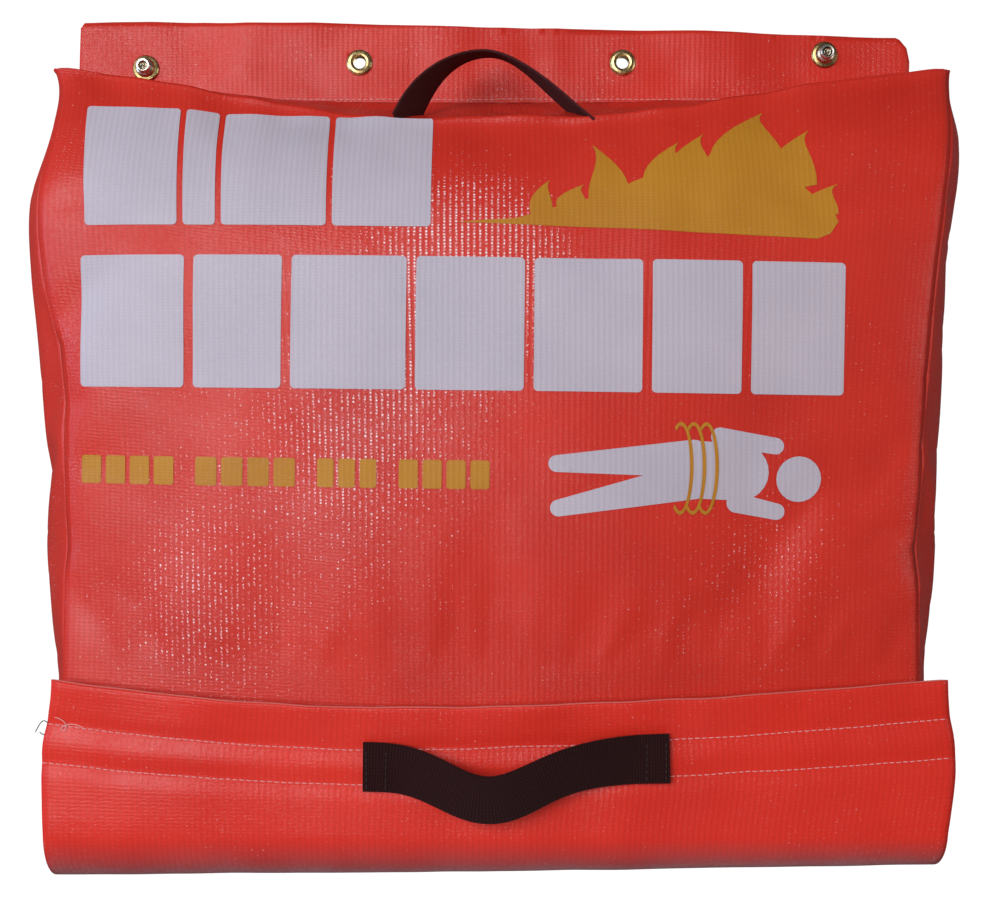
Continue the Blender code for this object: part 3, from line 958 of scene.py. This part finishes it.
def build_flap():
    across = steps(0, 1, 120)
    rows = steps(0, 1, 12) + steps(1, 2, 20)[1:] + steps(2, 3, 44)[1:]
    front = lattice(flap_front_point, across, rows)
    front_cloth = cloth_grid("flap_front_cloth", front, RED_FLAP)
    rear_rows = steps(0, 1, 12) + steps(1, 2, 12)[1:]
    rear_cloth = cloth_grid("flap_rear_cloth", lattice(flap_rear_point, across, rear_rows), RED_UNDER)
    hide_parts("flap_front_panel")
    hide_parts("flap_bottom_panel")
    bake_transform(front_cloth)
    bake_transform(rear_cloth)

    for row, line in enumerate(FLAP_SEAMS):
        path = []
        for t in steps(0, 1, 100):
            left, right = flap_edge(0, line[0]), flap_edge(1, line[1])
            x = mix(left, right, t)
            x, depth, z = flap_skin(x, hung(x, line) + 0.5 * MM * wave(x / (25 * MM), row * 5.0))
            path.append(Vector((x, -depth, z)))
        stitches(f"flap_stitches_{row}", path, PINK_THREAD, "flap_front")

    bm = bmesh.new()
    tube(bm, [line[-1] + Vector((0, 0.5 * MM, 0.05 * MM)) for line in front], 0.5 * MM)
    new_object("flap_cut_edge", bm, RED_INSIDE, "flap_front")
    build_loose_threads()


def build_loose_threads():
    """Two thread ends that were never trimmed, at the left end of the flap's seam."""
    bm = bmesh.new()
    x, depth, z = flap_skin(flap_edge(0, FLAP_SEAMS[0][0]), FLAP_SEAMS[0][0])
    for start, reach, curl in ((0, 5.5, 1.5), (-2.5, 3.5, -2.0)):
        points = []
        for t in steps(0, 1, 10):
            points.append(Vector((x - reach * t * MM, -depth - 0.3 * MM - 1.2 * MM * t,
                                  z + start * MM + curl * math.sin(t * 4) * MM - 3 * t * t * MM)))
        tube(bm, points, THREAD_RADIUS)
    loops = []
    for t in steps(0, 1, 28):
        angle = t * math.tau * 1.6
        loops.append(Vector((x + (3 + 14 * t + 3 * math.sin(angle)) * MM, -depth - 0.9 * MM,
                             z + (0.5 - 5 * t + 2.2 * math.cos(angle)) * MM)))
    new_object("loose_threads", bm, DARK_THREAD, "flap_front")
    bm = bmesh.new()
    tube(bm, loops, THREAD_RADIUS)
    new_object("loose_loop", bm, PINK_THREAD, "flap_front")


def build_tapes():
    for node, body, material in (("loop_tape", "bag", LOOPS), ("hook_tape", "flap_front", HOOKS)):
        low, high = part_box(node)
        face = -low.y - FULL_DEPTH

        def point(x, z, face=face):
            fuzz = 0.12 * MM * wave(x / (1.5 * MM), z / (1.5 * MM), face * 900)
            return x, FULL_DEPTH + face - 14 * MM * crowning(z) * (x / (200 * MM)) ** 2 + fuzz, z

        places = lattice(point, steps(low.x, high.x, 200), steps(low.z, high.z, 16))
        tape = cloth_grid(f"{node}_pile", places, material)
        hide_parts(node)
        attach(tape, body)


# ---------------------------------------------------------------- webbing


WEBBING_WIDTH, WEBBING_THICKNESS = 22 * MM, 1.5 * MM


def webbing(name, centre, across, material, count=80):
    """Flat woven strap: centre(u) is its middle line and across(u) the direction of its width."""
    half = 8
    section = []
    for k in range(-half, half + 1):
        share = k / half
        edge = 1 - 0.35 * smoothstep((abs(share) - 0.86) / 0.14)
        section.append((share * WEBBING_WIDTH / 2, WEBBING_THICKNESS / 2 * edge))
    section += [(x, -y) for x, y in section[::-1]]
    bm = bmesh.new()
    layer = bm.loops.layers.uv.new("Cloth")
    centres = [centre(u) for u in steps(0, 1, count)]
    along = lengths(centres)
    rings = []
    for i, u in enumerate(steps(0, 1, count)):
        ahead = (centres[min(i + 1, count)] - centres[max(i - 1, 0)]).normalized()
        side = across(u)
        side = (side - ahead * side.dot(ahead)).normalized()
        up = side.cross(ahead)
        rings.append([bm.verts.new(centres[i] + side * x + up * y) for x, y in section])
    size = len(section)
    for i in range(count):
        for k in range(size):
            m = (k + 1) % size
            face = bm.faces.new((rings[i][k], rings[i][m], rings[i + 1][m], rings[i + 1][k]))
            for loop, (row, column) in zip(face.loops, ((i, k), (i, m), (i + 1, m), (i + 1, k))):
                loop[layer].uv = (section[column][0], along[row])
    for ring in (rings[0][::-1], rings[-1]):
        bm.faces.new(ring)
    bmesh.ops.recalc_face_normals(bm, faces=bm.faces[:])
    obj = new_object(name, bm, material)
    obj.data.set_sharp_from_angle(angle=math.radians(60))
    return obj


def build_pull_strap():
    left, right = STRAP_LOW.x, STRAP_HIGH.x

    def centre(u):
        x = mix(left, right, u)
        dip = fade(x + 1.5 * MM, 27 * MM)
        z = mix(-341 * MM, -337.5 * MM, u) - 13.5 * MM * dip
        held = FULL_DEPTH + FLAP_FACE + 1.9 * MM
        slack = math.sin(math.pi * clamp((u - 0.1) / 0.8)) ** 1.5
        return Vector((x, -held - 12 * MM * slack - WEBBING_THICKNESS / 2, z))

    def across(u):
        slack = math.sin(math.pi * u)
        return Vector((0.12 * slack, -0.22 * slack, 1))

    strap = webbing("pull_strap_webbing", centre, across, BLACK_WEBBING)
    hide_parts("pull_strap")
    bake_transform(strap)
    for u0, u1, name in ((0.012, 0.075, "left"), (0.925, 0.988, "right")):
        for row, u in enumerate((u0, u1)):
            middle = centre(u)
            path = [middle + Vector((0, -WEBBING_THICKNESS / 2, t * WEBBING_WIDTH))
                    for t in steps(-0.44, 0.44, 8)]
            stitches(f"strap_stitches_{name}_{row}", path, DARK_THREAD, "flap_front", 2.4 * MM)


def build_top_handle():
    """A webbing loop that leans back, its width twisting until it points out of the wall at the top."""
    pos = AXIS["top_handle_swing"]["pos_m"]
    axis_depth, axis_z = -pos[1], pos[2]
    lean = math.radians(20)
    halves = (((-42.5, -5), (-36, 17), (-20, 38), (-2, 38)), ((-2, 38), (14, 38), (30, 13), (51, -4)))

    def centre(u):
        half = int(u >= 0.5)
        x, rise = curve(*halves[half], 2 * u - half)
        x, rise = x * MM, rise * MM
        back = rise * math.sin(lean) - axis_depth
        return Vector((x, 2 * MM + back, axis_z - 1.5 * MM + rise * math.cos(lean)))

    def across(u):
        sideways = mix(0.5, 0.12, smoothstep((u - 0.08) / 0.42)) - 0.36 * smoothstep((u - 0.5) / 0.4)
        return Vector((sideways, 0.92, 0.2 + 0.05 * math.cos(math.tau * u)))

    # Its webbing has painted light from above and from the red cloth
    handle = webbing("top_handle_webbing", centre, across, LIT_WEBBING)
    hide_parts("top_handle")
    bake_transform(handle)


# ---------------------------------------------------------------- blanket

FOLDS = 12
PITCH = 2.75 * MM


def build_blanket():
    """The folded wool blanket: a fan-folded length bent in half, so that its layers nest as U shapes."""
    outer = PITCH * (FOLDS - 0.5)
    middle_depth = -(BLANKET_LOW.y + BLANKET_HIGH.y) / 2
    middle_z = BLANKET_LOW.z + outer + PITCH / 2 + 4 * MM
    top_z = BLANKET_HIGH.z - PITCH
    path = []
    for fold in range(FOLDS):
        radius = outer - fold * PITCH
        way = 1 if fold % 2 else -1
        for t in steps(0, 1, 10)[:-1]:
            path.append((middle_depth + way * radius, mix(top_z, middle_z, t)))
        for angle in steps(0, math.pi, 20):
            path.append((middle_depth + way * radius * math.cos(angle), middle_z - radius * math.sin(angle)))
        for t in steps(0, 1, 10)[1:]:
            path.append((middle_depth - way * radius, mix(middle_z, top_z, t)))
        if fold < FOLDS - 1:
            turn = PITCH / 2
            for angle in steps(0, math.pi, 6)[1:-1]:
                depth = middle_depth - way * (radius - turn + turn * math.cos(angle))
                path.append((depth, top_z + turn * math.sin(angle)))

    def point(x, i):
        depth, z = path[i]
        ripple = 0.1 * MM * wave(x / (40 * MM), depth / (9 * MM), z / (40 * MM))
        edge = 1.5 * MM * wave(depth / (6 * MM), z / (50 * MM), 17.0) * (abs(x) / BLANKET_HIGH.x) ** 12
        return x + edge, depth + ripple, z

    across = steps(BLANKET_LOW.x + 2 * MM, BLANKET_HIGH.x - 2 * MM, 24)
    blanket = cloth_grid("blanket_wool", lattice(point, across, range(len(path))), WOOL, 2.3 * MM, 0)
    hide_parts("blanket")
    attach(blanket, "blanket")


# ---------------------------------------------------------------- fittings, stage, light, camera


def finish_fittings():
    metals = {"eyelet": BRASS, "eyelet_washer": BRASS, "press_stud": STUD, "stud_post": NICKEL}
    for side in ("left", "right"):
        for node, material in metals.items():
            for slot in frame["nodes"][f"{node}_{side}"].material_slots:
                slot.material = material


def area_light(name, place, target, size, power, colour=(1, 1, 1)):
    light = bpy.data.lights.new(name, "AREA")
    light.size = size
    light.energy = power
    light.color = colour
    obj = bpy.data.objects.new(name, light)
    obj.location = place
    obj.rotation_euler = (Vector(target) - Vector(place)).to_track_quat("-Z", "Y").to_euler()
    bpy.context.scene.collection.objects.link(obj)


FLOOR_Z, FLOOR_RADIUS = -1.0, 0.8  # metres: the bag hangs, and nothing stands on the floor


def build_stage():
    n = Nodes("pale_floor")
    n.set(Base_Color=(0.9, 0.9, 0.9, 1), Roughness=0.9)
    bm = bmesh.new()
    bmesh.ops.create_circle(bm, cap_ends=True, segments=64, radius=FLOOR_RADIUS)
    floor = new_object("floor", bm, n.material)
    floor.location = (0, 0, FLOOR_Z)

    world = bpy.data.worlds.new("studio")
    bpy.context.scene.world = world
    world.use_nodes = True
    tree = world.node_tree
    background = tree.nodes["Background"]
    path = tree.nodes.new("ShaderNodeLightPath")
    strength = tree.nodes.new("ShaderNodeMapRange")
    strength.inputs["To Min"].default_value = 0.09
    strength.inputs["To Max"].default_value = 1.05
    background.inputs["Color"].default_value = (1, 1, 1, 1)
    tree.links.new(path.outputs["Is Camera Ray"], strength.inputs["Value"])
    tree.links.new(strength.outputs[0], background.inputs["Strength"])

    middle = (0, -0.05, -0.19)
    area_light("front", (-1.0, -2.4, 0.45), middle, 1.8, 60, (0.97, 0.98, 1.03))
    area_light("left", (-1.3, -0.5, 0.0), middle, 0.6, 6, (0.45, 0.7, 1.0))
    area_light("right", (1.3, -0.6, 0.0), middle, 0.6, 2.5)
    area_light("back", (0.3, 1.3, 0.4), middle, 1.0, 8)
    bpy.context.scene.view_settings.view_transform = "Standard"


CAMERA_DISTANCE = 650 * MM
CAMERA_Z = -199.6 * MM
LENS = 45.7


def build_camera():
    camera = bpy.data.cameras.new("camera")
    camera.lens = LENS
    camera.sensor_width = 36
    camera.clip_start = 0.01
    obj = bpy.data.objects.new("camera", camera)
    obj.location = (0, -CAMERA_DISTANCE, CAMERA_Z)
    obj.rotation_euler = (math.pi / 2, 0, 0)
    bpy.context.scene.collection.objects.link(obj)
    bpy.context.scene.camera = obj


front_panel = build_shell()
build_back()
build_print(Panel(front_panel))
build_flange()
build_flap()
build_tapes()
build_pull_strap()
build_top_handle()
build_blanket()
finish_fittings()
build_stage()
build_camera()
